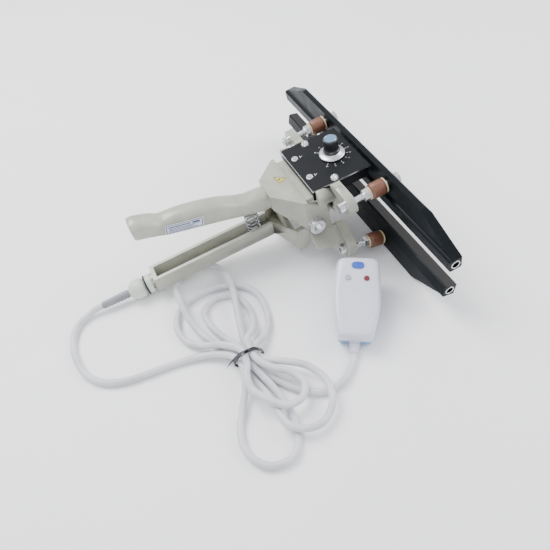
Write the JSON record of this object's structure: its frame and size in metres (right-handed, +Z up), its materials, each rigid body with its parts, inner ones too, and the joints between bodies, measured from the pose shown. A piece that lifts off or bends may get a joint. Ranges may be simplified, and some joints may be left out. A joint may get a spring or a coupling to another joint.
{
  "type": "hand-held crimp heat sealer",
  "caption": "Tong-style heat sealer with long black heated jaws, a temperature control on top, cream handles and a coiled mains lead ending in a safety plug.",
  "frame": {"origin": "centre of the tool's footprint on the bench, without the lead and plug", "axes": "+X along the jaws, +Y from the handles to the jaws, +Z up"},
  "size_m": [0.4817, 0.4267, 0.1334],
  "materials": {
    "casting": "semi-gloss cream enamel",
    "jaw_finish": "black non-stick, satin",
    "bright_steel": "bright zinc plate",
    "aluminium": "brushed",
    "dark_steel": "dull",
    "sleeve": "brown heat-resistant moulding",
    "washer": "pale fibre",
    "seal_tape": "coated glass cloth",
    "bronze": "oiled",
    "spring_steel": "bright",
    "gland_plastic": "satin",
    "black_rubber": "matt",
    "lead_jacket": "satin grey-white",
    "tie": "gloss black",
    "plug_white": "semi-gloss",
    "plug_blue": "semi-gloss",
    "pin_brass": "bright",
    "board": "solder-mask green",
    "copper": "enamelled wire",
    "red_lens": "clear moulding",
    "clear_lens": "clear moulding",
    "blue_button": "semi-gloss",
    "grey_button": "satin",
    "panel_black": "satin, printed",
    "knob_black": "gloss",
    "cap_blue": "spun",
    "label": "printed film",
    "caution": "printed film",
    "lead_sleeve": "braided glass sleeve"
  },
  "bodies": {
    "lower_handle": {"lower_casting": "casting", "pivot_bushes": "bronze", "return_spring": "spring_steel", "upper_jaw_cover": "jaw_finish", "upper_heater_block": "aluminium", "upper_heater_rod": "dark_steel", "upper_seal_strip": "seal_tape", "upper_bolt_sleeves": "sleeve", "upper_jaw_bolts": "bright_steel", "upper_jaw_nuts": "bright_steel", "upper_jaw_washers": "washer", "upper_heater_lead": "lead_sleeve", "gland_body": "gland_plastic", "gland_seal": "black_rubber", "gland_dome": "gland_plastic", "strain_relief": "lead_jacket", "mains_lead": "lead_jacket", "lead_tie": "tie", "plug_base": "plug_blue", "plug_cover": "plug_white", "plug_pins": "pin_brass", "plug_screws": "bright_steel", "plug_circuit_board": "board", "plug_fault_coil": "copper", "plug_lead_boot": "plug_white", "plug_lamp_lens": "red_lens"},
    "reset_button": {"plug_reset_button": "blue_button"},
    "test_button": {"plug_test_button": "grey_button"},
    "upper_handle": {"upper_casting": "casting", "pivot_bolt": "bright_steel", "pivot_nut": "bright_steel", "pivot_washers": "bright_steel", "control_box": "panel_black", "control_panel": "panel_black", "panel_screws": "bright_steel", "lamp_bezels": "bright_steel", "lamp_lenses": "clear_lens", "control_board": "board", "regulator_body": "dark_steel", "regulator_nut": "bright_steel", "lower_jaw_cover": "jaw_finish", "lower_heater_block": "aluminium", "lower_heater_rod": "dark_steel", "lower_seal_strip": "seal_tape", "lower_bolt_sleeves": "sleeve", "lower_jaw_bolts": "bright_steel", "lower_jaw_nuts": "bright_steel", "lower_jaw_washers": "washer", "lower_heater_lead": "lead_sleeve", "grip_plate": "label", "caution_plate": "caution"},
    "knob": {"knob_shaft": "aluminium", "knob_skirt": "aluminium", "knob_body": "knob_black", "knob_cap": "cap_blue", "knob_grub_screw": "bright_steel"}
  },
  "joints": [
    {"name": "handle_squeeze", "type": "hinge", "parent": "lower_handle", "child": "upper_handle", "pos_m": [0, 0.08838, 0.05631], "axis": [1, 0, 0], "range_deg": [0, 17.1], "stiffness_Nm_per_rad": 6.4, "springref_deg": -9.17, "deforming": ["return_spring"]},
    {"name": "knob_turn", "type": "hinge", "parent": "upper_handle", "child": "knob", "pos_m": [0, 0.13858, 0.11821], "axis": [0, -0.0924, 0.9957], "range_deg": [-270, 0]},
    {"name": "reset_press", "type": "slide", "parent": "lower_handle", "child": "reset_button", "axis": [-0.2183, 0.1391, -0.9659], "range_m": [0, 0.0012], "stiffness_N_per_m": 900, "springref_m": -0.002},
    {"name": "test_press", "type": "slide", "parent": "lower_handle", "child": "test_button", "axis": [-0.2183, 0.1391, -0.9659], "range_m": [0, 0.0012], "stiffness_N_per_m": 900, "springref_m": -0.002}
  ]
}
